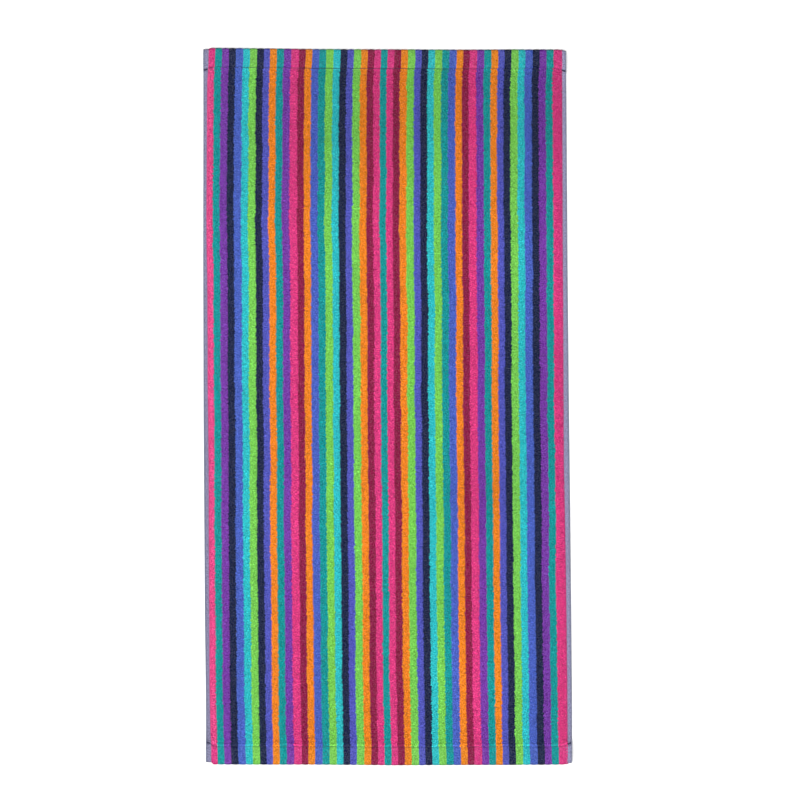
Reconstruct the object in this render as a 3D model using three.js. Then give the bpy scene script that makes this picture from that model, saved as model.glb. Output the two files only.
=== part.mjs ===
// A hand towel of striped velour towelling, laid out flat with its face up.
// Units are millimetres: X runs across the towel, Y along it and Z up.
// The origin is under the towel's middle, on the surface that it lies on.

import * as THREE from 'three';

// Width halfway along; the edge tables below give the outline itself
const MEAN_WIDTH = 500;

// Thickness of the woven ground alone, of the flat side edges, and of the body with its pile and loops
const GROUND_THICK = 0.9;
const SELVEDGE_THICK = 1.2;
const BODY_THICK = 3.8;

// Flat side edges, and the slope by which the pile rises beside them
const SELVEDGE_WIDTH = 6;
const PILE_SLOPE = 1.5;

// Ends turned under twice: from the fold to the seam, the cloth beyond the seam, and the air between layers
const TOP_HEM_DEPTH = 27;
const BOTTOM_HEM_DEPTH = 25;
const BEYOND_SEAM = 2;
const TUCKED_EDGE_INSET = 4;
const LAYER_GAP = 0.3;

// The seam draws the hem's upper layer down into a shallow groove
const SEAM_DIP = 0.45;
const SEAM_HALF_WIDTH = 1.5;

// How far past the inner fold the cloth leaves the hem and reaches its own level again
const UNDERSIDE_LEAVES = 0.4;
const UNDERSIDE_LANDS = 2.8;
const FACE_LEAVES = 0.9;
const FACE_LANDS = 3.0;

// Mesh density
const BODY_COLUMNS = 26;
const FACE_ROWS = 24;
const UNDERSIDE_ROWS = 8;
const TIP_ARC_STEPS = 6;
const FOLD_ARC_STEPS = 4;
const CREASE_ARC_STEPS = 2;

// The two long edges, which lean a little: their X at each place along the towel
const SIDE_EDGES = [
  { y: -495, left: -249.0, right: 252.8 },
  { y: -410, left: -248.9, right: 252.8 },
  { y: -300, left: -250.3, right: 251.8 },
  { y: -150, left: -251.4, right: 250.3 },
  { y: -5, left: -252.3, right: 248.5 },
  { y: 190, left: -252.8, right: 246.6 },
  { y: 390, left: -252.6, right: 245.3 },
  { y: 495, left: -252.6, right: 244.5 },
];

// The two ends, which bow a little: their Y at each share of the width, shorter on the side edges
const END_EDGES = [
  { share: 0.0, bottom: -487.3, top: 490.2 },
  { share: 0.014, bottom: -489.9, top: 492.2 },
  { share: 0.13, bottom: -490.7, top: 491.8 },
  { share: 0.31, bottom: -491.2, top: 490.7 },
  { share: 0.51, bottom: -492.2, top: 490.3 },
  { share: 0.71, bottom: -491.6, top: 489.7 },
  { share: 0.91, bottom: -491.1, top: 490.0 },
  { share: 0.986, bottom: -490.6, top: 489.8 },
  { share: 1.0, bottom: -487.3, top: 487.6 },
];

// Low waves in the body's face: height, and the distance across and along the towel from crest to crest
const FACE_WAVES = [
  { height: 0.22, across: 430, along: 760, phase: 0.4 },
  { height: 0.16, across: -260, along: 410, phase: 2.1 },
  { height: 0.1, across: 150, along: -230, phase: 4.4 },
];

// Reads a column of a table at a place between its rows
function readTable(table, key, place, column) {
  const last = table.length - 1;
  let row = 0;
  while (row < last - 1 && table[row + 1][key] < place) row += 1;
  const from = table[row];
  const to = table[row + 1];
  const share = THREE.MathUtils.clamp((place - from[key]) / (to[key] - from[key]), 0, 1);
  return THREE.MathUtils.lerp(from[column], to[column], share);
}

// Points of an arc in the section, as [inset, height] pairs, from one angle to another in quarter turns
function arc(inset, height, radius, fromQuarter, toQuarter, steps) {
  const points = [];
  for (let step = 0; step <= steps; step += 1) {
    const angle = THREE.MathUtils.lerp(fromQuarter, toQuarter, step / steps) * Math.PI / 2;
    points.push([inset + radius * Math.cos(angle), height + radius * Math.sin(angle)]);
  }
  return points;
}

// One end of the cloth's section, from the body's face round the hem and back to the underside.
// Inset is measured inwards from the outer fold. Pile is 0 on a side edge and 1 on the body.
function hemSection(depth, pile) {
  const { lerp } = THREE.MathUtils;
  const hemTop = 3 * GROUND_THICK + 2 * LAYER_GAP;
  const middleLow = GROUND_THICK + LAYER_GAP;
  const middleHigh = middleLow + GROUND_THICK;
  const upperLow = middleHigh + LAYER_GAP;
  const tipRadius = hemTop / 2;
  const foldRadius = middleHigh / 2;
  const innerFold = depth + BEYOND_SEAM;
  const foldCentre = innerFold - foldRadius;
  const faceByHem = lerp(hemTop, BODY_THICK, pile);
  return [
    [innerFold + FACE_LANDS, lerp(SELVEDGE_THICK, BODY_THICK, pile)],
    [innerFold + FACE_LEAVES, faceByHem],
    [depth + SEAM_HALF_WIDTH, faceByHem],
    [depth, hemTop - SEAM_DIP],
    [depth - SEAM_HALF_WIDTH, hemTop],
    [depth / 2, hemTop],
    ...arc(tipRadius, tipRadius, tipRadius, 1, 3, TIP_ARC_STEPS),
    ...arc(foldCentre, foldRadius, foldRadius, 3, 5, FOLD_ARC_STEPS),
    [TUCKED_EDGE_INSET, middleHigh],
    [TUCKED_EDGE_INSET, middleLow],
    ...arc(foldCentre, (GROUND_THICK + middleLow) / 2, LAYER_GAP / 2, 1, -1, CREASE_ARC_STEPS),
    ...arc(tipRadius, tipRadius, tipRadius - GROUND_THICK, 3, 1, FOLD_ARC_STEPS),
    [innerFold + UNDERSIDE_LEAVES, upperLow],
    [innerFold + UNDERSIDE_LANDS, 0],
  ];
}

// How much of the pile's height the cloth has at a distance from its nearer side edge
function pileAt(fromEdge) {
  return THREE.MathUtils.clamp((fromEdge - SELVEDGE_WIDTH) / PILE_SLOPE, 0, 1);
}

// Rise or fall of the body's face where it lies in soft waves
function waveAt(x, y) {
  const turn = 2 * Math.PI;
  return FACE_WAVES.reduce(
    (sum, wave) => sum + wave.height * Math.sin(turn * (x / wave.across + y / wave.along) + wave.phase),
    0,
  );
}

// X of a column at a place along the towel, from its shift off one side edge or its share between them
function columnX(column, y) {
  const left = readTable(SIDE_EDGES, 'y', y, 'left');
  const right = readTable(SIDE_EDGES, 'y', y, 'right');
  if (column.side < 0) return left + column.fromEdge;
  if (column.side > 0) return right - column.fromEdge;
  return THREE.MathUtils.lerp(left, right, column.share);
}

// The columns from left to right: three on each side edge, one where the pile stands full, and the body's
function makeColumns() {
  const edgeSteps = [0, SELVEDGE_WIDTH / 2, SELVEDGE_WIDTH, SELVEDGE_WIDTH + PILE_SLOPE];
  const leftSide = edgeSteps.map((fromEdge) => ({ side: -1, fromEdge, share: fromEdge / MEAN_WIDTH }));
  const rightSide = edgeSteps.map((fromEdge) => ({ side: 1, fromEdge, share: 1 - fromEdge / MEAN_WIDTH }));
  const body = [];
  for (let step = 1; step < BODY_COLUMNS; step += 1) {
    const share = step / BODY_COLUMNS;
    body.push({ side: 0, fromEdge: Math.min(share, 1 - share) * MEAN_WIDTH, share });
  }
  return [...leftSide, ...body, ...rightSide.reverse()];
}

// The closed section of one column, as points in the room
function columnSection(column) {
  const pile = pileAt(column.fromEdge);
  const top = readTable(END_EDGES, 'share', column.share, 'top');
  const bottom = readTable(END_EDGES, 'share', column.share, 'bottom');
  const topHem = hemSection(TOP_HEM_DEPTH, pile);
  const bottomHem = hemSection(BOTTOM_HEM_DEPTH, pile).reverse();
  const faceHeight = topHem[0][1];
  const faceFrom = bottom + bottomHem.at(-1)[0];
  const faceTo = top - topHem[0][0];
  const underFrom = top - topHem.at(-1)[0];
  const underTo = bottom + bottomHem[0][0];
  const points = bottomHem.map(([inset, z]) => [bottom + inset, z]);
  for (let row = 1; row < FACE_ROWS; row += 1) {
    const y = THREE.MathUtils.lerp(faceFrom, faceTo, row / FACE_ROWS);
    points.push([y, faceHeight + pile * waveAt(columnX(column, y), y)]);
  }
  topHem.forEach(([inset, z]) => points.push([top - inset, z]));
  for (let row = 1; row < UNDERSIDE_ROWS; row += 1) {
    points.push([THREE.MathUtils.lerp(underFrom, underTo, row / UNDERSIDE_ROWS), 0]);
  }
  return points.map(([y, z]) => new THREE.Vector3(columnX(column, y), y, z));
}

// Triangles that close the section at one side edge, all wound the same way round
function sideFaces(section, facesLeft) {
  const outline = section.map((point) => new THREE.Vector2(point.y, point.z));
  return THREE.ShapeUtils.triangulateShape(outline, []).map(([a, b, c]) => {
    const turnsLeft = THREE.ShapeUtils.area([outline[a], outline[b], outline[c]]) > 0;
    return turnsLeft === facesLeft ? [a, c, b] : [a, b, c];
  });
}

// One closed body lofted from section to section across the towel
function towelGeometry() {
  const sections = makeColumns().map(columnSection);
  const count = sections[0].length;
  const indices = [];
  for (let column = 0; column < sections.length - 1; column += 1) {
    for (let point = 0; point < count; point += 1) {
      const next = (point + 1) % count;
      const a = column * count + point;
      const b = (column + 1) * count + point;
      const c = (column + 1) * count + next;
      const d = column * count + next;
      indices.push(a, b, c, a, c, d);
    }
  }
  const lastStart = (sections.length - 1) * count;
  sideFaces(sections[0], true).forEach((face) => indices.push(...face));
  sideFaces(sections.at(-1), false).forEach((face) => indices.push(...face.map((i) => i + lastStart)));
  const geometry = new THREE.BufferGeometry().setFromPoints(sections.flat());
  geometry.setIndex(indices);
  geometry.computeVertexNormals();
  return geometry;
}

// Velour dyed in many stripes, given here by the teal of the middle stripe
function towelMaterial() {
  return new THREE.MeshStandardMaterial({ color: 0x16938f, roughness: 0.95, metalness: 0 });
}

const towelCloth = new THREE.Mesh(towelGeometry(), towelMaterial());
towelCloth.name = 'towel_cloth';

const handTowel = new THREE.Group();
handTowel.add(towelCloth);

export default handTowel;
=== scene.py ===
# A hand towel of striped velour towelling, laid out flat with its face up and seen from straight above.
# Units are metres: X runs across the towel, Y along it and Z up.
import math

import bpy
import numpy as np
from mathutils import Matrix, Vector


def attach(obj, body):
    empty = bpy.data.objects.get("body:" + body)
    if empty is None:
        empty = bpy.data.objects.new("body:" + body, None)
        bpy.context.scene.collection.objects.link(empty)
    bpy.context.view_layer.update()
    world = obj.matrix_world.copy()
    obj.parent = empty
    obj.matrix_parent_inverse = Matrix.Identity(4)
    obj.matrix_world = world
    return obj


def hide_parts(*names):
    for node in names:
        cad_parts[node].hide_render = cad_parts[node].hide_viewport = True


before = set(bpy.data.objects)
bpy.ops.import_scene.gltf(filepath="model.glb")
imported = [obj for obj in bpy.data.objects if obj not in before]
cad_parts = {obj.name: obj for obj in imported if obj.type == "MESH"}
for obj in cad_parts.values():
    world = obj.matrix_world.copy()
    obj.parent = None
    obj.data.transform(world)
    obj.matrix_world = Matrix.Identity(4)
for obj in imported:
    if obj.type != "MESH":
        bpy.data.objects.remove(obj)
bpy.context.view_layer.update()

MM = 0.001
CLOTH_NODE = "towel_cloth"
BODY = "root"

# Thickness of the cloth, as in the solid, and the height of the pile on its woven ground
GROUND_THICK = 0.9 * MM
SELVEDGE_THICK = 1.2 * MM
BODY_THICK = 3.8 * MM
PILE_HEIGHT = 1.8 * MM
GROUND_TOP = BODY_THICK - PILE_HEIGHT

# How far inside the seams and the pile's side edges the outermost tufts stand
PILE_FROM_SEAM = 0.9 * MM
PILE_FROM_LEFT = 1.0 * MM
PILE_FROM_RIGHT = 0.4 * MM

# The slope by which the ground rises from the flat side edges to the pile
PILE_SLOPE = 1.5 * MM

# Ends turned under twice
TOP_HEM_DEPTH = 26.7 * MM
BOTTOM_HEM_DEPTH = 25.7 * MM
BEYOND_SEAM = 2 * MM
TUCKED_EDGE_INSET = 4 * MM
LAYER_GAP = 0.3 * MM
UNDERSIDE_LEAVES = 0.4 * MM
UNDERSIDE_MIDWAY = 1.6 * MM
UNDERSIDE_LANDS = 2.8 * MM
FACE_LEAVES = 0.9 * MM
FACE_LANDS = 3.0 * MM
HEM_TOP = 3 * GROUND_THICK + 2 * LAYER_GAP
SEAM_DIP = 0.7 * MM
SEAM_HALF_WIDTH = 1.2 * MM

# The hem's upper side: fullness, the inner side's share of it, rise of each stripe, and lowest height
HEM_PUFF = 0.35 * MM
INNER_PUFF_SHARE = 0.6
STRIPE_CROWN = 0.14 * MM
UPPER_SIDE_FROM = HEM_TOP * 0.3

# How far the outer fold draws in between two stripes, and how wide a rim that moves
STRIPE_SCALLOP = 0.55 * MM
SCALLOP_MEAN = 0.8
SCALLOP_WIDTH = 6 * MM

# The two long edges of the cloth, in millimetres
SIDE_EDGES = np.array(
    [  # y, left, right
        (-495, -249.0, 252.8),
        (-410, -248.9, 252.8),
        (-300, -250.3, 251.8),
        (-150, -251.4, 250.3),
        (-5, -252.3, 248.5),
        (190, -252.8, 246.6),
        (390, -252.6, 245.3),
        (495, -252.6, 244.5),
    ]
)

# Where the pile begins beside the flat edges, in millimetres
PILE_EDGES = np.array(
    [  # y, left, right
        (-495, -240.9, 246.8),
        (-470, -240.9, 246.8),
        (-450, -242.3, 246.8),
        (-380, -243.8, 246.4),
        (-215, -244.4, 244.4),
        (-80, -244.6, 241.8),
        (30, -246.3, 241.2),
        (140, -246.5, 240.8),
        (250, -248.2, 240.0),
        (330, -247.8, 239.8),
        (450, -247.2, 239.4),
        (470, -244.9, 239.2),
        (495, -244.7, 239.0),
    ]
)

# How the warp runs: its first and last pile end, in millimetres
WARP_EDGES = np.array(
    [  # y, left, right
        (-480, -242.2, 243.8),
        (-435, -243.2, 243.4),
        (-380, -244.1, 242.7),
        (-270, -244.7, 241.0),
        (-160, -246.2, 240.8),
        (-80, -245.9, 239.3),
        (30, -246.9, 238.2),
        (140, -247.3, 237.9),
        (195, -247.9, 237.3),
        (250, -248.6, 236.8),
        (330, -247.9, 236.5),
        (442, -247.1, 236.0),
        (480, -245.5, 237.0),
    ]
)

# The two ends of the cloth, in millimetres
END_EDGES = np.array(
    [  # share of the width, bottom, top
        (0.0, -487.4, 489.9),
        (0.0125, -487.9, 490.3),
        (0.0165, -490.8, 492.0),
        (0.13, -491.0, 491.4),
        (0.31, -491.1, 490.3),
        (0.51, -492.0, 489.9),
        (0.71, -491.6, 489.4),
        (0.91, -491.3, 489.8),
        (0.984, -490.9, 489.7),
        (0.988, -489.4, 489.0),
        (1.0, -488.3, 487.5),
    ]
)
LEFT, RIGHT = 1, 2
BOTTOM, TOP = 1, 2

# Low waves in the face, as in the solid: height, crest to crest across and along, phase
FACE_WAVES = (
    (0.22 * MM, 430 * MM, 760 * MM, 0.4),
    (0.16 * MM, -260 * MM, 410 * MM, 2.1),
    (0.10 * MM, 150 * MM, -230 * MM, 4.4),
)

# Smooth noise: cells in its lattice, and the cell on which the towel's middle lies
NOISE_CELLS = 255
NOISE_START = (1000.37, 1000.71)

# What noise moves, and for each the amount, the size of the patches and the seed
WARP_WANDERS = ((0.5 * MM, 34 * MM, 5), (0.35 * MM, 11 * MM, 6))
PUFF_VARIES = (0.5, 28 * MM, 8)
HEM_CRUMPLES = (0.06 * MM, 3.2 * MM, 9)
SCALLOP_VARIES = (0.6, 12 * MM, 10)
SEAM_WANDERS = (0.2 * MM, 25 * MM, 31)
NAP_PATCHES = ((1.0, 60 * MM, 41), (0.5, 25 * MM, 42))
LEAN_ACROSS = ((1.0, 3.4 * MM, 21), (0.5, 13 * MM, 22))
LEAN_ALONG = ((1.0, 3.4 * MM, 23), (0.5, 17 * MM, 24))

# How aslant the finer patches of the lean across lie
LEAN_SHEAR = 0.6

# Yarn colours of the pile, as sRGB shares of 255
YARNS = {
    "pink": (225, 68, 137),
    "teal": (23, 157, 158),
    "purple": (126, 67, 171),
    "navy": (38, 47, 79),
    "blue": (82, 106, 198),
    "cyan": (53, 196, 203),
    "green": (129, 210, 92),
    "indigo": (90, 95, 193),
    "orange": (241, 141, 42),
    "burgundy": (148, 40, 80),
    "selvedge": (153, 150, 185),
    "edge_cord": (136, 140, 167),
}

# The stripes from the middle to the pile's edge, which the other half mirrors: yarn, and width in millimetres
WARP = (
    ("teal", 4.6),
    ("pink", 8.9),
    ("burgundy", 9.2),
    ("orange", 9.4),
    ("green", 10.3),
    ("indigo", 9.0),
    ("navy", 9.6),
    ("cyan", 9.1),
    ("green", 10.2),
    ("teal", 9.5),
    ("blue", 10.1),
    ("orange", 9.3),
    ("burgundy", 9.2),
    ("pink", 10.6),
    ("purple", 10.1),
    ("teal", 9.5),
    ("orange", 9.2),
    ("indigo", 8.8),
    ("navy", 9.4),
    ("green", 10.0),
    ("cyan", 9.4),
    ("blue", 10.3),
    ("navy", 9.5),
    ("purple", 9.9),
    ("teal", 9.5),
    ("pink", 9.4),
)
HALF_WARP_WIDTH = sum(width for _, width in WARP) * MM
STRIPE_BOUNDS = np.cumsum([0, *(width for _, width in WARP)]) * MM / HALF_WARP_WIDTH
WOVEN_SHADE = 0.575

# A colour ramp keeps only so many shades apart, so this many of them share the width
RAMP_PARTS = 3

# Terry loops on the back of the body: their number to the metre, relief and gain in brightness
LOOP_SCALE = 420.0
LOOP_RELIEF = 6.0
LOOP_TONE = 0.07

# Past the pile the place in the warp goes on by this much to the side edge, and its outer part is a cord
SELVEDGE_REACH = 0.05
EDGE_CORD_FROM = 0.62

# The largest place in the warp that still lies on the outermost stripe
INSIDE_WARP = 0.9999

# Density of the meshes, and the pile's length, over which its rows are spread
SELVEDGE_COLUMNS = 6
BODY_COLUMNS = 286
BODY_ROWS = 46
HEM_ROWS = 17
HEM_UNDER_STEPS = 4
HEM_TUCKED_STEPS = 3
ARC_STEPS = 8
PILE_LENGTH = 935 * MM
PILE_PITCH = 1.68 * MM
PILE_PIECES = 4

# Single tufts: how far they stray from their rows as a share of the pitch, their size, and how they stand
TUFT_SEED = 20
TUFT_SPREAD = 0.3
TUFT_RADIUS = 1.25 * MM
TUFT_RADII = (0.85, 1.15)
TUFT_HEIGHTS = (0.88, 1.12)
TUFT_SUNK = 0.1 * MM
TUFT_LEAN = -1.7 * MM
TUFT_STRAY = 0.26 * MM
TUFT_JITTER = 0.30 * MM
TUFT_STRAY_ALONG = 0.5
TUFT_SOFTNESS = 1.1 * MM
TIP_OPENS = 0.5

# How painted shade deepens their colour towards the root and painted light lifts it at the tip, how it varies
# at random from tuft to tuft, and painted light and shade with the lean
ROOT_SHADE = 0.5
TIP_SHADE = 1.25
TUFT_TONE = 0.155
STRAY_SHADING = 0.02

# Beside the left edge of the pile the tufts lean less
EDGE_LEAN_SHARE = 0.3
EDGE_LEAN_WIDTH = 6 * MM

# Tufts are shorter beside both seams
SHORT_PILE_WIDTH = 5 * MM
SHORTER_BY_SEAM = 0.3

# Above the bottom seam the tufts stand straighter, and a painted highlight makes them brighter, fully so near
# it and less so further up
UPRIGHT_BY_SEAM = 0.6
UPRIGHT_HIGHLIGHT = 0.11
UPRIGHT_WITHIN = 3 * MM
HIGHLIGHT_WITHIN = 6 * MM
UPRIGHT_WIDTH = 16 * MM

# At the top end the nap lies the other way, and painted shade makes it look deeper, less so towards the left
# edge
NAP_TURNS_AT = 215 * MM
NAP_TURNED_AT = 372 * MM
NAP_SHADE_DEPTH = 0.20
NAP_LEFT_SHARE = 0.4
NAP_LEFT_PART = (-230 * MM, -70 * MM)
NAP_VARIATION = 0.03

# Patches of painted light and shade where the nap lies up or down, with painted shade over the bottom end: x,
# y, reach and gain in brightness
NAP_LIGHT_PLACES = (
    (98 * MM, -370 * MM, 70 * MM, 0.14),
    (140 * MM, -120 * MM, 50 * MM, -0.10),
    (-110 * MM, -170 * MM, 110 * MM, 0.06),
    (0 * MM, -430 * MM, 250 * MM, -0.05),
    (210 * MM, 430 * MM, 70 * MM, -0.05),
    (90 * MM, 325 * MM, 80 * MM, 0.07),
    (-200 * MM, 145 * MM, 60 * MM, 0.05),
    (215 * MM, 0 * MM, 100 * MM, -0.06),
)

# The outermost stripe's pile leans outwards: painted sheen and a painted highlight make it paler and lighter
# on the left, and painted shade makes it deeper on the right
EDGE_PILE_WIDTH = 9 * MM
LEFT_EDGE_HIGHLIGHT = 0.08
LEFT_EDGE_SHEEN = 0.04
RIGHT_EDGE_SHADE = -0.07

# How much brighter the right side edge is than the left
RIGHT_SELVEDGE_GAIN = 0.14

# How bright painted light and shade make the hems look beside the body's weave at their left and right ends,
# and how softly that ends
HEM_LIGHTING = {"top": (1.02, 0.92), "bottom": (1.14, 1.05)}
HEM_TONE_SOFTNESS = 1 * MM

# How much painted shade darkens the hems along their outer folds, and where that begins and is full
FOLD_SHADE_DEPTH = {"top": 0.62, "bottom": 0.46}
FOLD_SHADE = (2.4 * MM, 0.2 * MM)

# How much painted shade darkens the cloth beside the seams, or painted light brightens it where negative, and
# how far that reaches
SEAM_SHADE_DEPTH = {"top": 0.12, "bottom": -0.15}
SEAM_SHADE_WIDTH = 2.0 * MM

# How much brighter a painted highlight makes the top hem where it rises from its seam, and where that begins
# and ends
SEAM_RIM_HIGHLIGHT = 0.07
SEAM_RIM_BEGINS = (0.8 * MM, 1.8 * MM)
SEAM_RIM_ENDS = (5.0 * MM, 2.8 * MM)

# The top seam's right part lies under the pile's rim, where its shade turns into light
COVERED_PART = (0.68, 0.8)
COVERED_TURN = 2.2

# How much brighter a painted highlight makes the pile's rim beside each seam
PILE_RIM_WIDTH = 7 * MM
PILE_RIM_HIGHLIGHT = np.array(
    [  # share of the width, bottom, top
        (0.0, 0.05, 0.09),
        (0.2, 0.04, 0.09),
        (0.3, 0.04, 0.0),
        (0.68, 0.02, 0.0),
        (0.78, 0.02, 0.09),
        (1.0, 0.02, 0.08),
    ]
)

# How far the pile leans out over each hem, in millimetres
PILE_OVER_SEAM = np.array(
    [  # share of the width, bottom, top
        (0.0, 2.4, 1.8),
        (0.2, 2.6, 1.0),
        (0.3, 2.6, 0.2),
        (0.65, 2.6, 0.2),
        (0.8, 2.6, 2.8),
        (1.0, 2.6, 3.0),
    ]
)

# Seams: where they lie along the towel, and how far inside the side edges they begin
SEAM_PLACE = 465 * MM
SEAM_INSET = 0.5 * MM

# How far each seam runs in at its left and right ends, over what length, and how sharply
SEAM_RUNS_IN = {"top": (2.3 * MM, 1.8 * MM), "bottom": (1.6 * MM, 2.0 * MM)}
SEAM_STRAIGHTENS = 15 * MM
SEAM_CURVE = 1.5

# Stitches: from where to where each one goes as shares of its length, and how far it arches up and lies sunk
STITCH_LENGTH = 3.0 * MM
STITCH_POINTS = 6
STITCH_REACH = (0.03, 0.97)
STITCH_ARCH = 0.45
STITCH_SUNK = 0.2
UNDERSIDE_RAISED = 0.15 * MM

# Sewing thread, with how slim and how blunt each stitch is at its ends
THREAD_RADIUS = 0.3 * MM
THREAD_SIDES = 6
THREAD_END = 0.25
THREAD_BLUNTNESS = 0.4

# Stitches sewn back and forth at the side edges: where they start, as shares of a length, and their passes
BACKTACK_STARTS = (0.1, 0.8)
BACKTACK_PASSES = (-0.7 * MM, 0.0, 0.7 * MM)
BACKTACK_RADIUS = 0.62 * MM

# Grain of the colours, with painted specks of sheen and shadow, and for each the scale of the noise, its
# detail and how far it reaches
WEAVE_COARSE = (680, 0, 0.17)
WEAVE_FINE = (1700, 0, 0.12)
WEAVE_SPECKS = (760, 0, 0.024)
PILE_CLUMPS = (950, 0, 0.25)
PILE_FIBRES = (1700, 0, 0.26)
PILE_SPECKS = (760, 0, 0.034)

# How ragged the lines between the stripes are in the weave
RAGGED_SCALE = 650
RAGGED_DETAIL = 2
RAGGED_BY = 0.45 * MM

# The weave's relief: pitches of its threads, bands to a unit of scale, unevenness, strength and height
WEAVE_PITCHES = (("X", 0.8 * MM), ("Y", 0.7 * MM))
BANDS_TO_SCALE = 3.2
WEAVE_UNEVENNESS = 0.6
WEAVE_STRENGTH = 0.6
WEAVE_HEIGHT = 0.2 * MM

# The sewing thread's darkest and palest colour, as sRGB shares of 255, and how fine its twist is
THREAD_SHADES = ((18, 20, 46), (42, 42, 80))
TWIST_SCALE = 1800

# The floor's darkest and palest tone, and how wide its patches are
FLOOR_TONES = (0.95, 0.97)
FLOOR_PATCH_SCALE = 3

# Room left around each face in the cloth's bake layout
LAYOUT_MARGIN = 0.01

# Studio: a wide floor just under the lowest stitches, and one large soft light
FLOOR_HALF = 25.0
FLOOR_LEVEL = -0.3 * MM
KEY_PLACE = (-12.0, -12.0, 18.0)
KEY_SIZE = 10.0
KEY_WATTS = 4560
WORLD_STRENGTH = 1.0

# Framing: the side of the pictured square on the surface, its centre, and the lens
VIEW_SIDE = 1096.5 * MM
VIEW_CENTRE = (17.1 * MM, 9.05 * MM, 2.5 * MM)
LENS = 100.0
SENSOR = 36.0
CLIP_END = 100


def srgb_to_linear(colour):
    """A colour of sRGB shares of 255 as the linear colour that a shader takes."""
    shares = [c / 255 for c in colour]
    linear = [s / 12.92 if s <= 0.04045 else ((s + 0.055) / 1.055) ** 2.4 for s in shares]
    return (*linear, 1.0)


def table_at(table, side, place):
    """What a table gives for a side at a place: Y in metres along the towel, or a share of its width."""
    key = place / MM if table[0, 0] < 0 else place
    return np.interp(key, table[:, 0], table[:, side])


def edge_at(table, side, place):
    """The same in metres, where the table is in millimetres."""
    return table_at(table, side, place) * MM


def ramp(value, low, high):
    """0 at low, 1 at high, straight between them and level beyond."""
    return np.clip((value - low) / (high - low), 0, 1)


def face_wave(x, y):
    turn = 2 * math.pi
    return sum(h * np.sin(turn * (x / across + y / along) + phase) for h, across, along, phase in FACE_WAVES)


def value_noise(x, y, noise):
    """Smooth noise that reaches the amount to either side of 0, in patches of about the size."""
    amount, size, seed = noise
    lattice = np.random.default_rng(seed).uniform(-1, 1, (NOISE_CELLS + 1, NOISE_CELLS + 1))
    u, v = x / size + NOISE_START[0], y / size + NOISE_START[1]
    i, j = np.floor(u).astype(int), np.floor(v).astype(int)
    fu, fv = u - i, v - j
    fu, fv = fu * fu * (3 - 2 * fu), fv * fv * (3 - 2 * fv)
    i, j = i % NOISE_CELLS, j % NOISE_CELLS
    low = lattice[i, j] * (1 - fu) + lattice[i + 1, j] * fu
    high = lattice[i, j + 1] * (1 - fu) + lattice[i + 1, j + 1] * fu
    return amount * (low * (1 - fv) + high * fv)


def warp_place(x, y):
    """Where a point lies in the warp: 0 at the middle stripe, -1 and 1 at the first and the last pile end."""
    low, high = edge_at(WARP_EDGES, LEFT, y), edge_at(WARP_EDGES, RIGHT, y)
    wander = sum(value_noise(x, y, noise) for noise in WARP_WANDERS)
    return np.clip((2 * (x + wander) - low - high) / (high - low), -INSIDE_WARP, INSIDE_WARP)


def yarn_colours(place):
    """The linear colour of the yarn at each place in the warp."""
    palette = np.array([srgb_to_linear(YARNS[yarn])[:3] for yarn, _ in WARP])
    return palette[np.searchsorted(STRIPE_BOUNDS[1:-1], np.abs(place))]


def stripe_crown(place):
    """0 on the line between two stripes and 1 on a stripe's middle."""
    across = np.abs(place)
    k = np.searchsorted(STRIPE_BOUNDS, across, side="right") - 1
    low = np.where(k == 0, -STRIPE_BOUNDS[1], STRIPE_BOUNDS[k])
    return np.sin(np.pi * (across - low) / (STRIPE_BOUNDS[k + 1] - low))


def make_mesh(name, points, faces, material, smooth=True):
    """A mesh object from arrays of points and of triangles."""
    mesh = bpy.data.meshes.new(name)
    mesh.vertices.add(len(points))
    mesh.vertices.foreach_set("co", np.ascontiguousarray(points, np.float32).ravel())
    mesh.loops.add(faces.size)
    mesh.loops.foreach_set("vertex_index", np.ascontiguousarray(faces, np.int32).ravel())
    mesh.polygons.add(len(faces))
    mesh.polygons.foreach_set("loop_start", np.arange(len(faces), dtype=np.int32) * 3)
    mesh.polygons.foreach_set("use_smooth", np.full(len(faces), smooth))
    mesh.update(calc_edges=True)
    mesh.materials.append(material)
    piece = bpy.data.objects.new(name, mesh)
    bpy.context.scene.collection.objects.link(piece)
    return piece


def point_attribute(piece, name, values):
    attribute = piece.data.attributes.new(name, "FLOAT", "POINT")
    attribute.data.foreach_set("value", np.ascontiguousarray(values, np.float32).ravel())


def bake_layout(piece, across, along):
    """A UV map for baking, given per point."""
    layer = piece.data.uv_layers.new(name="OFBake")
    corners = np.zeros(len(piece.data.loops), np.int32)
    piece.data.loops.foreach_get("vertex_index", corners)
    flat = np.stack([across, along], 1)[corners]
    layer.data.foreach_set("uv", np.ascontiguousarray(flat, np.float32).ravel())


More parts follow.
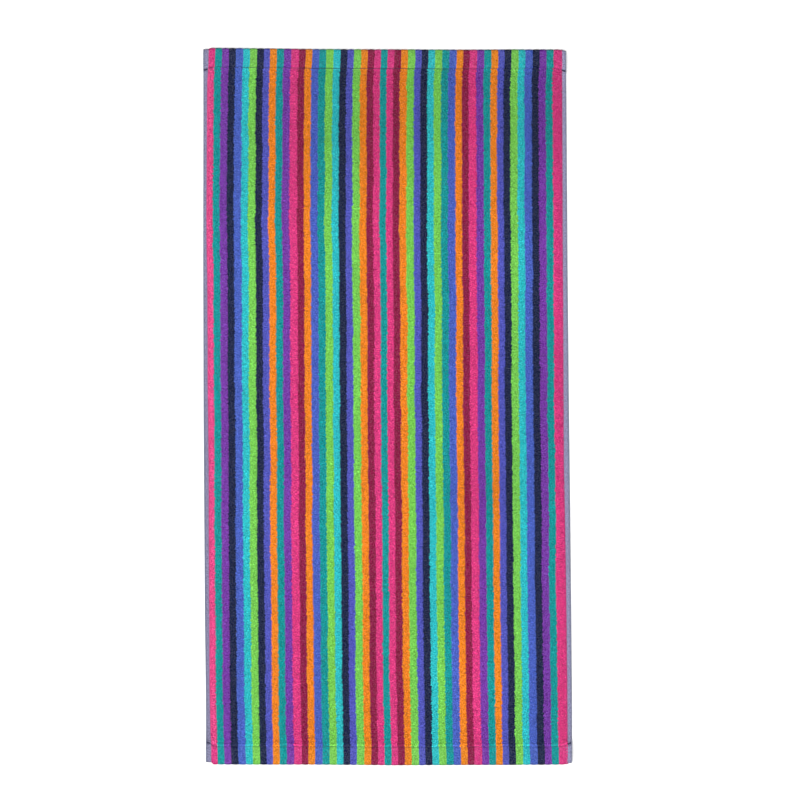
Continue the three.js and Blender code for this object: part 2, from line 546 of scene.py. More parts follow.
def hem_rows(depth):
    """One hem as a ribbon from the body to the tucked raw edge. A row has its face's inset and height, its
    back's inset and height, and 1 where it belongs to the hem's open upper side."""
    upper_low = 2 * GROUND_THICK + 2 * LAYER_GAP
    middle_low = GROUND_THICK + LAYER_GAP
    middle_high = middle_low + GROUND_THICK
    tip, tip_inside = HEM_TOP / 2, HEM_TOP / 2 - GROUND_THICK
    fold, crease = middle_high / 2, LAYER_GAP / 2
    inner = depth + BEYOND_SEAM
    midway = (FACE_LANDS + FACE_LEAVES) / 2
    fold_centre = inner - fold
    rows = [
        (inner + FACE_LANDS, GROUND_TOP, inner + UNDERSIDE_LANDS, 0, 0),
        (inner + midway, (GROUND_TOP + HEM_TOP) / 2, inner + UNDERSIDE_MIDWAY, upper_low / 2, 0),
        (inner + FACE_LEAVES, HEM_TOP, inner + UNDERSIDE_LEAVES, upper_low, 0),
        (depth + SEAM_HALF_WIDTH, HEM_TOP, depth + SEAM_HALF_WIDTH, upper_low, 0),
        (depth + SEAM_HALF_WIDTH / 2, HEM_TOP - SEAM_DIP / 2, depth + SEAM_HALF_WIDTH / 2, upper_low, 0),
        (depth, HEM_TOP - SEAM_DIP, depth, upper_low, 0),
        (depth - SEAM_HALF_WIDTH / 2, HEM_TOP - SEAM_DIP / 2, depth - SEAM_HALF_WIDTH / 2, upper_low, 0),
    ]
    for inset in np.linspace(depth - SEAM_HALF_WIDTH, tip, HEM_ROWS)[:-1]:
        rows.append((inset, HEM_TOP, inset, upper_low, 1))
    for angle in np.linspace(math.pi / 2, 3 * math.pi / 2, ARC_STEPS + 1):
        c, s = math.cos(angle), math.sin(angle)
        rows.append((tip + tip * c, tip + tip * s, tip + tip_inside * c, tip + tip_inside * s, 0))
    for inset in np.linspace(tip, fold_centre, HEM_UNDER_STEPS + 1)[1:-1]:
        rows.append((inset, 0, inset, GROUND_THICK, 0))
    for angle in np.linspace(-math.pi / 2, math.pi / 2, ARC_STEPS // 2 + 1):
        c, s = math.cos(angle), math.sin(angle)
        rows.append((fold_centre + fold * c, fold + fold * s, fold_centre + crease * c, fold + crease * s, 0))
    for inset in np.linspace(fold_centre, TUCKED_EDGE_INSET, HEM_TUCKED_STEPS + 1)[1:]:
        rows.append((inset, middle_high, inset, middle_low, 0))
    return np.array(rows)


def cloth_columns():
    """The columns of the cloth from left to right: the zone of each, -1 and 1 on the flat side edges and 0
    between them, and its share of the way across its zone."""
    beside = np.linspace(0, 1, SELVEDGE_COLUMNS + 1)
    slope = np.array([0, 0.5, 1.0]) * PILE_SLOPE / (2 * HALF_WARP_WIDTH)
    body = np.linspace(slope[-1], 1 - slope[-1], BODY_COLUMNS)[1:-1]
    body = np.concatenate([slope, body, 1 - slope[::-1]])
    zone = np.concatenate([np.full(SELVEDGE_COLUMNS, -1), np.zeros(len(body)), np.full(SELVEDGE_COLUMNS, 1)])
    return zone, np.concatenate([beside[:-1], body, beside[1:]])


def column_x(zone, share, y):
    left, right = edge_at(SIDE_EDGES, LEFT, y), edge_at(SIDE_EDGES, RIGHT, y)
    pile_left, pile_right = edge_at(PILE_EDGES, LEFT, y), edge_at(PILE_EDGES, RIGHT, y)
    low = np.where(zone < 0, left, np.where(zone > 0, pile_right, pile_left))
    high = np.where(zone < 0, pile_left, np.where(zone > 0, right, pile_right))
    return low + (high - low) * share


def two_triangles(a, b, c, d):
    a, b, c, d = (np.asarray(corner).ravel() for corner in (a, b, c, d))
    return np.concatenate([np.stack([a, b, c], 1), np.stack([a, c, d], 1)])


def cloth_piece(material):
    """The woven cloth with its hems and side edges: one closed ribbon from raw edge to raw edge."""
    zone, share = (column[:, None] for column in cloth_columns())
    count = len(zone)
    left, right = edge_at(SIDE_EDGES, LEFT, 0), edge_at(SIDE_EDGES, RIGHT, 0)
    width_share = (column_x(zone, share, 0 * share) - left) / (right - left)
    from_pile_edge = np.minimum(share, 1 - share) * 2 * HALF_WARP_WIDTH
    pile = np.where(zone == 0, ramp(from_pile_edge, 0, PILE_SLOPE), 0)
    top, bottom = edge_at(END_EDGES, TOP, width_share), edge_at(END_EDGES, BOTTOM, width_share)
    upper, lower = hem_rows(TOP_HEM_DEPTH), hem_rows(BOTTOM_HEM_DEPTH)[::-1]
    steps = np.linspace(0, 1, BODY_ROWS + 1)[1:-1]

    def rows_y(column):
        low, high = bottom + lower[:, column], top - upper[:, column]
        middle = low[:, -1:] + (high[:, :1] - low[:, -1:]) * steps
        return np.concatenate([low, middle, high], 1)

    def rows_of(column, body):
        """A value per row from the hem tables, with one value on the body between them."""
        one_column = np.concatenate([lower[:, column], np.full(len(steps), body), upper[:, column]])
        return np.tile(one_column, (count, 1))

    face_y, back_y = rows_y(0), rows_y(2)
    face_z, back_z = rows_of(1, GROUND_TOP), rows_of(3, 0.0)
    on_hem = rows_of(4, 0)
    rows = face_y.shape[1]
    on_body = np.zeros((1, rows), bool)
    on_body[:, len(lower) - 1 : len(lower) + len(steps) + 1] = True
    face_x, back_x = column_x(zone, share, face_y), column_x(zone, share, back_y)

    # Place in the warp, which goes on past 1 over the flat side edges
    beyond = np.where(zone < 0, 1 - share, share)
    at_edge = np.where(zone == 0, 1, 0) * np.ones_like(face_x)
    place = np.where(at_edge == 1, warp_place(face_x, face_y), zone * (1 + SELVEDGE_REACH * beyond))
    back_place = np.where(at_edge == 1, warp_place(back_x, back_y), zone * (1 + SELVEDGE_REACH * beyond))
    crown = stripe_crown(np.clip(place, -INSIDE_WARP, INSIDE_WARP)) * pile

    # The body's face drops to the flat side edges and lies in low waves
    level = SELVEDGE_THICK + (GROUND_TOP - SELVEDGE_THICK) * pile
    face_z = np.where(on_body, level + pile * face_wave(face_x, face_y), face_z)

    # The hem is fuller between fold and seam, and each stripe stands a little proud
    inset = np.minimum(top - face_y, face_y - bottom)
    depth = np.where(face_y > 0, TOP_HEM_DEPTH, BOTTOM_HEM_DEPTH)
    fullness = 1 + value_noise(face_x, face_y, PUFF_VARIES)
    puff = HEM_PUFF * np.sin(np.pi * np.clip(inset / depth, 0, 1)) * fullness
    crumple = value_noise(face_x, face_y, HEM_CRUMPLES)
    face_z = face_z + on_hem * (puff + STRIPE_CROWN * crown + crumple)
    back_z = back_z + on_hem * puff * INNER_PUFF_SHARE

    # The outer fold bulges at each stripe
    bulge = STRIPE_SCALLOP * (crown - 1) * (SCALLOP_MEAN + value_noise(face_x, 0 * face_y, SCALLOP_VARIES))
    outward = np.sign(face_y) * ramp(inset, SCALLOP_WIDTH, 0) * bulge * pile
    face_y, back_y = face_y + outward, back_y + outward

    face = np.stack([face_x, face_y, face_z], 2).reshape(-1, 3)
    back = np.stack([back_x, back_y, back_z], 2).reshape(-1, 3)
    upside = np.arange(count * rows).reshape(count, rows)
    under = upside + count * rows
    faces = np.concatenate(
        [
            two_triangles(upside[:-1, :-1], upside[1:, :-1], upside[1:, 1:], upside[:-1, 1:]),
            two_triangles(under[:-1, :-1], under[:-1, 1:], under[1:, 1:], under[1:, :-1]),
            two_triangles(upside[:-1, 0], under[:-1, 0], under[1:, 0], upside[1:, 0]),
            two_triangles(upside[:-1, -1], upside[1:, -1], under[1:, -1], under[:-1, -1]),
            two_triangles(upside[0, :-1], upside[0, 1:], under[0, 1:], under[0, :-1]),
            two_triangles(upside[-1, :-1], under[-1, :-1], under[-1, 1:], upside[-1, 1:]),
        ]
    )
    piece = make_mesh("cloth", np.concatenate([face, back]), faces, material)
    point_attribute(piece, "warp_place", np.concatenate([place.ravel(), back_place.ravel()]))

    # Painted shade along the fold and beside the top seam, and painted light beside the bottom seam
    rim = ramp(inset, *FOLD_SHADE) * (face_z > UPPER_SIDE_FROM)
    beside_seam = ramp(np.abs(inset - depth), SEAM_SHADE_WIDTH, 0) * pile
    upper_end = face_y > 0
    shade = 1 - rim * np.where(upper_end, FOLD_SHADE_DEPTH["top"], FOLD_SHADE_DEPTH["bottom"])
    turned = 1 - COVERED_TURN * np.where(upper_end, ramp(width_share, *COVERED_PART), 0)
    shade -= beside_seam * np.where(upper_end, SEAM_SHADE_DEPTH["top"], SEAM_SHADE_DEPTH["bottom"]) * turned
    # Painted highlight where the top hem rises from its seam
    seam_highlight = ramp(depth - inset, *SEAM_RIM_BEGINS) * ramp(depth - inset, *SEAM_RIM_ENDS)
    shade += SEAM_RIM_HIGHLIGHT * seam_highlight * upper_end * pile
    # Painted light and shade across the hems' upper sides, changing from their left to their right ends
    on_upper_side = ramp(depth - inset, -HEM_TONE_SOFTNESS, HEM_TONE_SOFTNESS) * (face_z > UPPER_SIDE_FROM)
    left_tone = np.where(upper_end, HEM_LIGHTING["top"][0], HEM_LIGHTING["bottom"][0])
    right_tone = np.where(upper_end, HEM_LIGHTING["top"][1], HEM_LIGHTING["bottom"][1])
    hem_lighting = left_tone + (right_tone - left_tone) * width_share
    shade *= 1 + on_upper_side * (zone == 0) * (hem_lighting - 1)
    shade *= 1 + RIGHT_SELVEDGE_GAIN * (zone > 0)
    point_attribute(piece, "shade", np.concatenate([shade.ravel(), np.ones(back_x.size)]))
    loops = pile * np.tile(on_body, (count, 1))
    point_attribute(piece, "loops", np.concatenate([0 * loops.ravel(), loops.ravel()]))

    # The face is baked into the lower half of the square and the back into the upper half
    along = np.linspace(LAYOUT_MARGIN, 0.5 - LAYOUT_MARGIN, rows)
    across = np.tile(width_share * (1 - 2 * LAYOUT_MARGIN) + LAYOUT_MARGIN, (1, rows)).ravel()
    all_along = np.concatenate([np.tile(along, count), np.tile(along + 0.5, count)])
    bake_layout(piece, np.concatenate([across, across]), all_along)
    return piece


def ground_height(x, y, from_seam, from_pile_edge):
    """Top of the woven ground under the pile."""
    level = GROUND_TOP + face_wave(x, y)
    level = SELVEDGE_THICK + (level - SELVEDGE_THICK) * ramp(from_pile_edge, 0, PILE_SLOPE)
    by_seam = ramp(from_seam, BEYOND_SEAM + FACE_LEAVES, BEYOND_SEAM + FACE_LANDS)
    return HEM_TOP + (level - HEM_TOP) * by_seam


def nap_light_and_shade(x, y):
    """Painted light and shade from the lie of the nap, with random patches of tone."""
    right_part = NAP_LEFT_SHARE + (1 - NAP_LEFT_SHARE) * ramp(x, *NAP_LEFT_PART)
    tone = 1 - NAP_SHADE_DEPTH * ramp(y, NAP_TURNS_AT, NAP_TURNED_AT) * right_part
    for place_x, place_y, reach, gain in NAP_LIGHT_PLACES:
        tone = tone + gain * np.exp(-((x - place_x) ** 2 + (y - place_y) ** 2) / reach**2)
    return tone + NAP_VARIATION * sum(value_noise(x, y, noise) for noise in NAP_PATCHES)


def pile_piece(number, material):
    """A lengthwise quarter of the cut pile: tufts as slim three-sided points that lean with the nap."""
    rng = np.random.default_rng(TUFT_SEED + number)
    columns = int(round(2 * HALF_WARP_WIDTH / PILE_PITCH / PILE_PIECES))
    rows = int(round(PILE_LENGTH / (PILE_PITCH * math.sqrt(3) / 2)))
    i, j = np.meshgrid(np.arange(columns), np.arange(rows), indexing="ij")
    strayed = i + 0.5 * (j % 2) + rng.uniform(-TUFT_SPREAD, TUFT_SPREAD, i.shape)
    across = (number + strayed / columns) / PILE_PIECES
    along = (j + 0.5 + rng.uniform(-TUFT_SPREAD, TUFT_SPREAD, i.shape)) / rows
    across, along = np.clip(across.ravel(), 0, 1), along.ravel()
    count = len(across)

    y_low = edge_at(END_EDGES, BOTTOM, across) + BOTTOM_HEM_DEPTH + PILE_FROM_SEAM
    y_high = edge_at(END_EDGES, TOP, across) - TOP_HEM_DEPTH - PILE_FROM_SEAM
    y = y_low + (y_high - y_low) * along
    x_low = edge_at(PILE_EDGES, LEFT, y) + PILE_FROM_LEFT
    x_high = edge_at(PILE_EDGES, RIGHT, y) - PILE_FROM_RIGHT
    x = x_low + (x_high - x_low) * across
    from_seam = np.minimum(y - y_low, y_high - y) + PILE_FROM_SEAM
    from_pile_edge = np.minimum(x - x_low + PILE_FROM_LEFT, x_high - x + PILE_FROM_RIGHT)
    z = ground_height(x, y, from_seam, from_pile_edge) - TUFT_SUNK

    # Tufts lean left with the nap and, beside a seam, out over the hem
    stray_x = value_noise(x + LEAN_SHEAR * y, y, LEAN_ACROSS[0]) + value_noise(x, y, LEAN_ACROSS[1])
    stray_y = sum(value_noise(x, y, noise) for noise in LEAN_ALONG)
    near_seam = ramp(from_seam, SHORT_PILE_WIDTH, 0)
    lean_out = np.where(y > 0, edge_at(PILE_OVER_SEAM, TOP, across), edge_at(PILE_OVER_SEAM, BOTTOM, across))
    over_hem = np.sign(y) * near_seam * lean_out
    lean_share = EDGE_LEAN_SHARE + (1 - EDGE_LEAN_SHARE) * ramp(x - x_low, 0, EDGE_LEAN_WIDTH)
    lean_x = TUFT_LEAN * lean_share + TUFT_STRAY * stray_x
    lean_x *= 1 - UPRIGHT_BY_SEAM * ramp(y - y_low, UPRIGHT_WIDTH, UPRIGHT_WITHIN)
    lean_x += rng.uniform(-1, 1, count) * TUFT_JITTER
    lean_y = TUFT_STRAY_ALONG * TUFT_STRAY * stray_y + over_hem + rng.uniform(-1, 1, count) * TUFT_JITTER
    height = PILE_HEIGHT * (1 - SHORTER_BY_SEAM * near_seam) * rng.uniform(*TUFT_HEIGHTS, count)
    tip = np.stack([x + lean_x, y + lean_y, z + TUFT_SUNK + height], 1)
    turn = rng.uniform(0, 2 * math.pi, count)
    radius = TUFT_RADIUS * rng.uniform(*TUFT_RADII, count)
    corners = []
    for third in range(3):
        angle = turn + third * 2 * math.pi / 3
        corners.append(np.stack([x + radius * np.cos(angle), y + radius * np.sin(angle), z], 1))
    points = np.stack([*corners, tip], 1).reshape(-1, 3)
    first = np.arange(count) * 4
    pattern = ((0, 1, 3), (1, 2, 3), (2, 0, 3), (0, 2, 1))
    faces = np.concatenate([np.stack([first + k for k in three], 1) for three in pattern])
    piece = make_mesh(f"pile_{number + 1}", points, faces, material)

    yarn = piece.data.attributes.new("yarn", "FLOAT_VECTOR", "POINT")
    # Painted sheen makes the pile paler beside its left edge
    by_left_edge = ramp(x - x_low, EDGE_PILE_WIDTH, EDGE_PILE_WIDTH / 2)
    colours = yarn_colours(warp_place(x, y)) + LEFT_EDGE_SHEEN * by_left_edge[:, None]
    colours = np.repeat(colours, 4, axis=0)
    yarn.data.foreach_set("vector", np.ascontiguousarray(colours, np.float32).ravel())
    # The tone holds painted light and shade from the lie of the nap and the lean, on a tone that varies at
    # random from tuft to tuft
    tone = nap_light_and_shade(x, y) * (1 + STRAY_SHADING * stray_y + TUFT_TONE * rng.standard_normal(count))
    # Painted highlight beside the pile's left edge and painted shade beside its right edge
    tone *= 1 + LEFT_EDGE_HIGHLIGHT * by_left_edge
    tone *= 1 + RIGHT_EDGE_SHADE * ramp(x_high - x, EDGE_PILE_WIDTH, EDGE_PILE_WIDTH / 2)
    # Painted highlight above the bottom seam
    tone *= 1 + UPRIGHT_HIGHLIGHT * ramp(y - y_low, UPRIGHT_WIDTH, HIGHLIGHT_WITHIN)
    # Painted highlight on the pile's rim beside each seam
    rim_highlight = np.where(y > 0, table_at(PILE_RIM_HIGHLIGHT, TOP, across), table_at(PILE_RIM_HIGHLIGHT, BOTTOM, across))
    tone *= 1 + rim_highlight * ramp(from_seam, PILE_RIM_WIDTH, PILE_RIM_WIDTH / 2)
    # Painted shade towards each tuft's root and painted light at its tip
    depths = np.array([ROOT_SHADE, ROOT_SHADE, ROOT_SHADE, TIP_SHADE])
    point_attribute(piece, "shade", (tone[:, None] * depths).ravel())

    # Shading normals open upwards, so the tufts look soft
    normals = points.reshape(-1, 4, 3) - np.stack([x, y, z], 1)[:, None, :]
    normals[:, 3, :2] *= TIP_OPENS
    normals[:, :, 2] = TUFT_SOFTNESS
    normals /= np.linalg.norm(normals, axis=2, keepdims=True)
    piece.data.normals_split_custom_set_from_vertices(normals.reshape(-1, 3))

    flat = (points - points.min(0)) / (points.max(0) - points.min(0))
    bake_layout(piece, flat[:, 0], flat[:, 1])
    return piece


def thread_tube(path, radius, sides=THREAD_SIDES):
    """Points and triangles of a closed round thread along a path, slimmer at its ends."""
    ahead = np.gradient(path, axis=0)
    ahead /= np.linalg.norm(ahead, axis=1, keepdims=True)
    side = np.cross(ahead, (0.0, 0.0, 1.0))
    side /= np.linalg.norm(side, axis=1, keepdims=True)
    over = np.cross(side, ahead)
    angles = (np.arange(sides) * 2 * math.pi / sides)[None, :, None]
    slim = np.sin(np.linspace(THREAD_END, math.pi - THREAD_END, len(path))) ** THREAD_BLUNTNESS
    ring = side[:, None] * np.cos(angles) + over[:, None] * np.sin(angles)
    points = (path[:, None] + radius * slim[:, None, None] * ring).reshape(-1, 3)
    grid = np.arange(len(path) * sides).reshape(len(path), sides)
    ahead_of = np.roll(grid, -1, axis=1)
    skin = two_triangles(grid[:-1], grid[1:], ahead_of[1:], ahead_of[:-1])
    fan = np.array([(0, k, k + 1) for k in range(1, sides - 1)])
    return points, np.concatenate([skin, fan, fan[:, ::-1] + grid[-1, 0]])


def seam_piece(end, material):
    """The sewing thread of one hem: stitches on face and back, sewn back and forth at the side edges."""
    upper = end == "top"
    depth = TOP_HEM_DEPTH if upper else BOTTOM_HEM_DEPTH
    level = SEAM_PLACE if upper else -SEAM_PLACE
    low = edge_at(SIDE_EDGES, LEFT, level) + SEAM_INSET
    high = edge_at(SIDE_EDGES, RIGHT, level) - SEAM_INSET
    pile_low, pile_high = edge_at(PILE_EDGES, LEFT, level), edge_at(PILE_EDGES, RIGHT, level)
    run_left, run_right = SEAM_RUNS_IN[end]

    def inset_at(x):
        """How far inside the outer fold the seam runs."""
        left_part = run_left * ramp(x - low, SEAM_STRAIGHTENS, 0) ** SEAM_CURVE
        right_part = run_right * ramp(high - x, SEAM_STRAIGHTENS, 0) ** SEAM_CURVE
        return depth + left_part + right_part + value_noise(x, 0 * x, SEAM_WANDERS)

    def surface(x, inset, face):
        if not face:
            return 0 * x
        on_pile = ramp(np.minimum(x - pile_low, pile_high - x), 0, PILE_SLOPE)
        beyond = SELVEDGE_THICK + (GROUND_TOP - SELVEDGE_THICK) * on_pile
        slope = ramp(inset, depth + BEYOND_SEAM + FACE_LEAVES, depth + BEYOND_SEAM + FACE_LANDS)
        dip = SEAM_DIP * ramp(np.abs(inset - depth), SEAM_HALF_WIDTH, 0)
        return HEM_TOP + (beyond - HEM_TOP) * slope - dip

    stitches = [(start, 0.0) for start in np.arange(low, high - STITCH_LENGTH, STITCH_LENGTH)]
    sewn_back = [low + share * STITCH_LENGTH for share in BACKTACK_STARTS]
    sewn_back += [high - (1 + share) * STITCH_LENGTH for share in BACKTACK_STARTS]
    stitches += [(start, shift) for shift in BACKTACK_PASSES for start in sewn_back]
    all_points, all_faces, total = [], [], 0
    for start, shift in stitches:
        x = start + np.linspace(*STITCH_REACH, STITCH_POINTS) * STITCH_LENGTH
        inset = inset_at(x) + shift
        share = (x - low) / (high - low)
        y = edge_at(END_EDGES, TOP, share) - inset if upper else edge_at(END_EDGES, BOTTOM, share) + inset
        arch = np.sin(np.linspace(0, math.pi, STITCH_POINTS)) * STITCH_ARCH - STITCH_SUNK
        arch = arch * 2 * THREAD_RADIUS
        for face in (True, False):
            z = surface(x, inset, face) + (arch if face else UNDERSIDE_RAISED - arch)
            heavy = face and start in sewn_back
            points, faces = thread_tube(np.stack([x, y, z], 1), BACKTACK_RADIUS if heavy else THREAD_RADIUS)
            all_points.append(points)
            all_faces.append(faces + total)
            total += len(points)
    points = np.concatenate(all_points)
    piece = make_mesh(f"seam_{end}", points, np.concatenate(all_faces), material)
    spread = (points - points.min(0)) / (points.max(0) - points.min(0))
    bake_layout(piece, spread[:, 0], spread[:, 1])
    return piece


def new_material(name):
    material = bpy.data.materials.new(name)
    material.use_nodes = True
    nodes = material.node_tree.nodes
    return material, nodes, material.node_tree.links, nodes["Principled BSDF"]


def math_node(nodes, links, operation, first, second):
    """A Math node whose two inputs are sockets or numbers."""
    node = nodes.new("ShaderNodeMath")
    node.operation = operation
    for socket, value in zip(node.inputs, (first, second)):
        if isinstance(value, (int, float)):
            socket.default_value = value
        else:
            links.new(value, socket)
    return node.outputs[0]


def vector_node(nodes, links, operation, first, second):
    """A Vector Math node with two linked inputs."""
    node = nodes.new("ShaderNodeVectorMath")
    node.operation = operation
    links.new(first, node.inputs[0])
    links.new(second, node.inputs[1])
    return node.outputs["Vector"]


def scaled(nodes, links, colour, factor):
    node = nodes.new("ShaderNodeVectorMath")
    node.operation = "SCALE"
    links.new(colour, node.inputs[0])
    links.new(factor, node.inputs["Scale"])
    return node.outputs["Vector"]


def attribute_value(nodes, name):
    node = nodes.new("ShaderNodeAttribute")
    node.attribute_name = name
    return node.outputs["Fac"]


def object_coordinates(nodes):
    return nodes.new("ShaderNodeTexCoord").outputs["Object"]


def noise_value(nodes, links, coordinates, scale, detail):
    node = nodes.new("ShaderNodeTexNoise")
    node.inputs["Scale"].default_value = scale
    node.inputs["Detail"].default_value = detail
    links.new(coordinates, node.inputs["Vector"])
    return node.outputs["Fac"]


def centred_noise(nodes, links, coordinates, scale, detail, height):
    """Noise about 0 that reaches about height to either side."""
    noise = noise_value(nodes, links, coordinates, scale, detail)
    noise = math_node(nodes, links, "SUBTRACT", noise, 0.5)
    return math_node(nodes, links, "MULTIPLY", noise, 4 * height)


def colour_part(nodes, links, place, stops, low, high):
    """The colours of the stops from low to high, and black at every other place."""
    within = math_node(nodes, links, "GREATER_THAN", place, low if low > 0 else -1)
    beyond = math_node(nodes, links, "GREATER_THAN", place, high)
    within = math_node(nodes, links, "SUBTRACT", within, beyond)
    share = math_node(nodes, links, "SUBTRACT", place, low)
    share = math_node(nodes, links, "DIVIDE", share, high - low)
    ramp_node = nodes.new("ShaderNodeValToRGB")
    ramp_node.color_ramp.interpolation = "CONSTANT"
    elements = ramp_node.color_ramp.elements
    elements.remove(elements[1])
    elements[0].position = 0.0
    elements[0].color = srgb_to_linear(YARNS[[yarn for position, yarn in stops if position <= low][-1]])
    for position, yarn in stops:
        if low < position < high:
            elements.new((position - low) / (high - low)).color = srgb_to_linear(YARNS[yarn])
    links.new(share, ramp_node.inputs["Fac"])
    return scaled(nodes, links, ramp_node.outputs["Color"], within)


def striped_colour(nodes, links, coordinates):
    """The yarn's colour by its place in the warp, with ragged lines between the stripes."""
    ragged = RAGGED_BY / HALF_WARP_WIDTH
    offset = centred_noise(nodes, links, coordinates, RAGGED_SCALE, RAGGED_DETAIL, ragged)
    place = math_node(nodes, links, "ADD", attribute_value(nodes, "warp_place"), offset)
    place = math_node(nodes, links, "ABSOLUTE", place, 0)
    place = math_node(nodes, links, "MINIMUM", place, 1 + SELVEDGE_REACH)
    stops = [(float(bound), yarn) for bound, (yarn, _) in zip(STRIPE_BOUNDS, WARP)]
    stops += [(1.0, "selvedge"), (1 + SELVEDGE_REACH * EDGE_CORD_FROM, "edge_cord")]
    limits = [(1 + SELVEDGE_REACH) * part / RAMP_PARTS for part in range(RAMP_PARTS + 1)]
    parts = [colour_part(nodes, links, place, stops, low, high) for low, high in zip(limits, limits[1:])]
    colour = parts[0]
    for part in parts[1:]:
        colour = vector_node(nodes, links, "ADD", colour, part)
    return colour


def with_painted_specks(nodes, links, coordinates, colour, specks):
    """The colour with the painted sheen of stray pale fibres and small painted shadows strewn over it, as
    light or dark on every yarn.
    """
    strewn = vector_node(nodes, links, "ADD", colour, centred_noise(nodes, links, coordinates, *specks))
    kept = nodes.new("ShaderNodeVectorMath")
    kept.operation = "MAXIMUM"
    links.new(strewn, kept.inputs[0])
    return kept.outputs["Vector"]


def between(nodes, links, factor, colours):
    """A mix of two colours, by the factor."""
    mix = nodes.new("ShaderNodeValToRGB")
    for element, colour in zip(mix.color_ramp.elements, colours):
        element.color = colour
    links.new(factor, mix.inputs["Fac"])
    return mix.outputs["Color"]


def woven_material():
    """Flat weave of the hems, the side edges, the back and the ground under the pile."""
    material, nodes, links, shader = new_material("woven_ground")
    coordinates = object_coordinates(nodes)
    colour = striped_colour(nodes, links, coordinates)
    coarse = centred_noise(nodes, links, coordinates, *WEAVE_COARSE)
    fine = centred_noise(nodes, links, coordinates, *WEAVE_FINE)
    tone = math_node(nodes, links, "ADD", math_node(nodes, links, "ADD", coarse, fine), WOVEN_SHADE)
    loops = math_node(nodes, links, "MULTIPLY", attribute_value(nodes, "loops"), LOOP_RELIEF)
    loops = math_node(nodes, links, "MULTIPLY", loops, noise_value(nodes, links, coordinates, LOOP_SCALE, 1))
    tone = math_node(nodes, links, "ADD", tone, math_node(nodes, links, "MULTIPLY", loops, LOOP_TONE))
    tone = math_node(nodes, links, "MULTIPLY", tone, attribute_value(nodes, "shade"))
    colour = with_painted_specks(nodes, links, coordinates, scaled(nodes, links, colour, tone), WEAVE_SPECKS)
    links.new(colour, shader.inputs["Base Color"])
    weave = []
    for direction, pitch in WEAVE_PITCHES:
        wave = nodes.new("ShaderNodeTexWave")
        wave.bands_direction = direction
        wave.inputs["Scale"].default_value = 1 / pitch / BANDS_TO_SCALE
        wave.inputs["Distortion"].default_value = WEAVE_UNEVENNESS
        links.new(coordinates, wave.inputs["Vector"])
        weave.append(wave.outputs["Fac"])
    bump = nodes.new("ShaderNodeBump")
    bump.inputs["Strength"].default_value = WEAVE_STRENGTH
    bump.inputs["Distance"].default_value = WEAVE_HEIGHT
    relief = math_node(nodes, links, "MULTIPLY", weave[0], weave[1])
    links.new(math_node(nodes, links, "ADD", relief, loops), bump.inputs["Height"])
    links.new(bump.outputs["Normal"], shader.inputs["Normal"])
    shader.inputs["Roughness"].default_value = 0.92
    shader.inputs["Specular IOR Level"].default_value = 0.12
    shader.inputs["Sheen Weight"].default_value = 0.05
    shader.inputs["Sheen Roughness"].default_value = 0.5
    return material


def pile_material():
    """Cut cotton pile, with painted shade that darkens it towards its roots."""
    material, nodes, links, shader = new_material("cut_pile")
    coordinates = object_coordinates(nodes)
    yarn = nodes.new("ShaderNodeAttribute")
    yarn.attribute_name = "yarn"
    clumps = centred_noise(nodes, links, coordinates, *PILE_CLUMPS)
    fibres = centred_noise(nodes, links, coordinates, *PILE_FIBRES)
    tone = math_node(nodes, links, "ADD", math_node(nodes, links, "ADD", clumps, fibres), 1.0)
    tone = math_node(nodes, links, "MULTIPLY", tone, attribute_value(nodes, "shade"))
    colour = scaled(nodes, links, yarn.outputs["Vector"], tone)
    colour = with_painted_specks(nodes, links, coordinates, colour, PILE_SPECKS)
    links.new(colour, shader.inputs["Base Color"])
    shader.inputs["Roughness"].default_value = 0.95
    shader.inputs["Specular IOR Level"].default_value = 0.1
    shader.inputs["Sheen Weight"].default_value = 0.08
    shader.inputs["Sheen Roughness"].default_value = 0.45
    return material


def thread_material():
    """Twisted navy sewing thread."""
    material, nodes, links, shader = new_material("navy_thread")
    twist = noise_value(nodes, links, object_coordinates(nodes), TWIST_SCALE, 1)
    shades = [srgb_to_linear(shade) for shade in THREAD_SHADES]
    links.new(between(nodes, links, twist, shades), shader.inputs["Base Color"])
    shader.inputs["Roughness"].default_value = 0.6
    return material


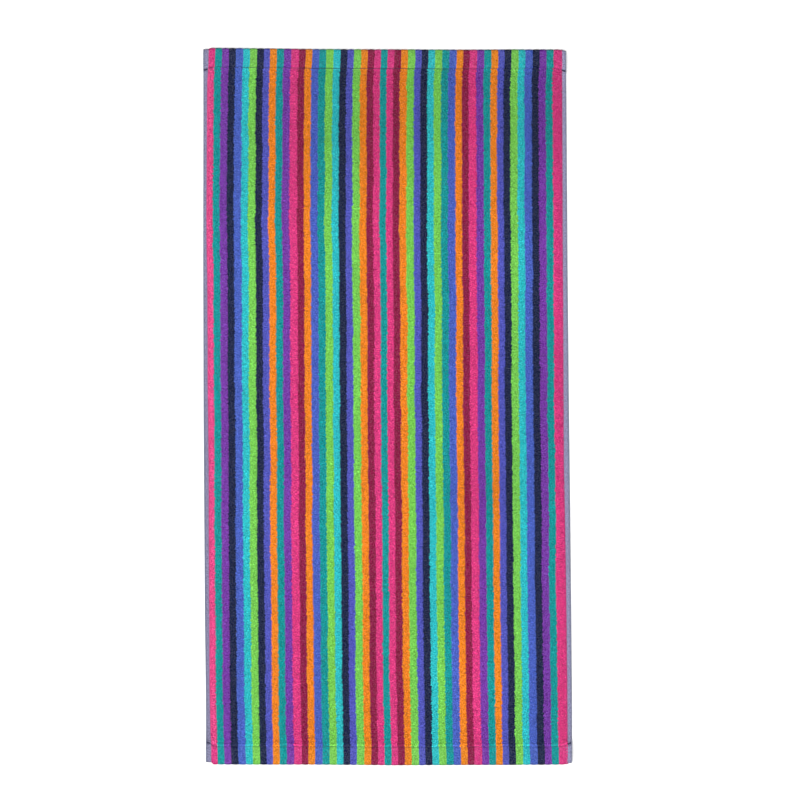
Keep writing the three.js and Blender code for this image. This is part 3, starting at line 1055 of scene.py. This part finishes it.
def floor_material():
    """Matt white, with a faint variation."""
    material, nodes, links, shader = new_material("pale_floor")
    patches = noise_value(nodes, links, object_coordinates(nodes), FLOOR_PATCH_SCALE, 1)
    tones = [(tone, tone, tone, 1) for tone in FLOOR_TONES]
    links.new(between(nodes, links, patches, tones), shader.inputs["Base Color"])
    shader.inputs["Roughness"].default_value = 0.9
    shader.inputs["Specular IOR Level"].default_value = 0.1
    return material


def make_floor():
    """A wide square under the towel, which isn't part of it."""
    half, level = FLOOR_HALF, FLOOR_LEVEL
    corners = [(-half, -half, level), (half, -half, level), (half, half, level), (-half, half, level)]
    halves = [(0, 1, 2), (0, 2, 3)]
    floor = make_mesh("floor", np.array(corners), np.array(halves), floor_material(), smooth=False)


def make_light(name, place, size, watts):
    """A round soft light that faces the towel."""
    data = bpy.data.lights.new(name, "AREA")
    data.shape = "DISK"
    data.size = size
    data.energy = watts
    light = bpy.data.objects.new(name, data)
    light.location = place
    light.rotation_mode = "QUATERNION"
    light.rotation_quaternion = (-Vector(place)).to_track_quat("-Z", "Y")
    bpy.context.scene.collection.objects.link(light)


def make_studio():
    scene = bpy.context.scene
    scene.view_settings.view_transform = "Standard"
    world = bpy.data.worlds.new("studio")
    world.use_nodes = True
    background = world.node_tree.nodes["Background"]
    background.inputs["Color"].default_value = (1, 1, 1, 1)
    background.inputs["Strength"].default_value = WORLD_STRENGTH
    scene.world = world
    make_light("key", KEY_PLACE, KEY_SIZE, KEY_WATTS)


def make_camera():
    data = bpy.data.cameras.new("camera")
    data.lens = LENS
    data.sensor_width = SENSOR
    data.clip_end = CLIP_END
    camera = bpy.data.objects.new("camera", data)
    camera.location = (*VIEW_CENTRE[:2], VIEW_CENTRE[2] + VIEW_SIDE * LENS / SENSOR)
    bpy.context.scene.collection.objects.link(camera)
    bpy.context.scene.camera = camera


make_camera()
make_studio()
make_floor()

woven = woven_material()
velour = pile_material()
thread = thread_material()

cloth = cloth_piece(woven)
pile = [pile_piece(number, velour) for number in range(PILE_PIECES)]
seams = [seam_piece(end, thread) for end in ("top", "bottom")]

for piece in [cloth, *pile]:
    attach(piece, BODY)
for piece in seams:
    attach(piece, BODY)
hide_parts(CLOTH_NODE)
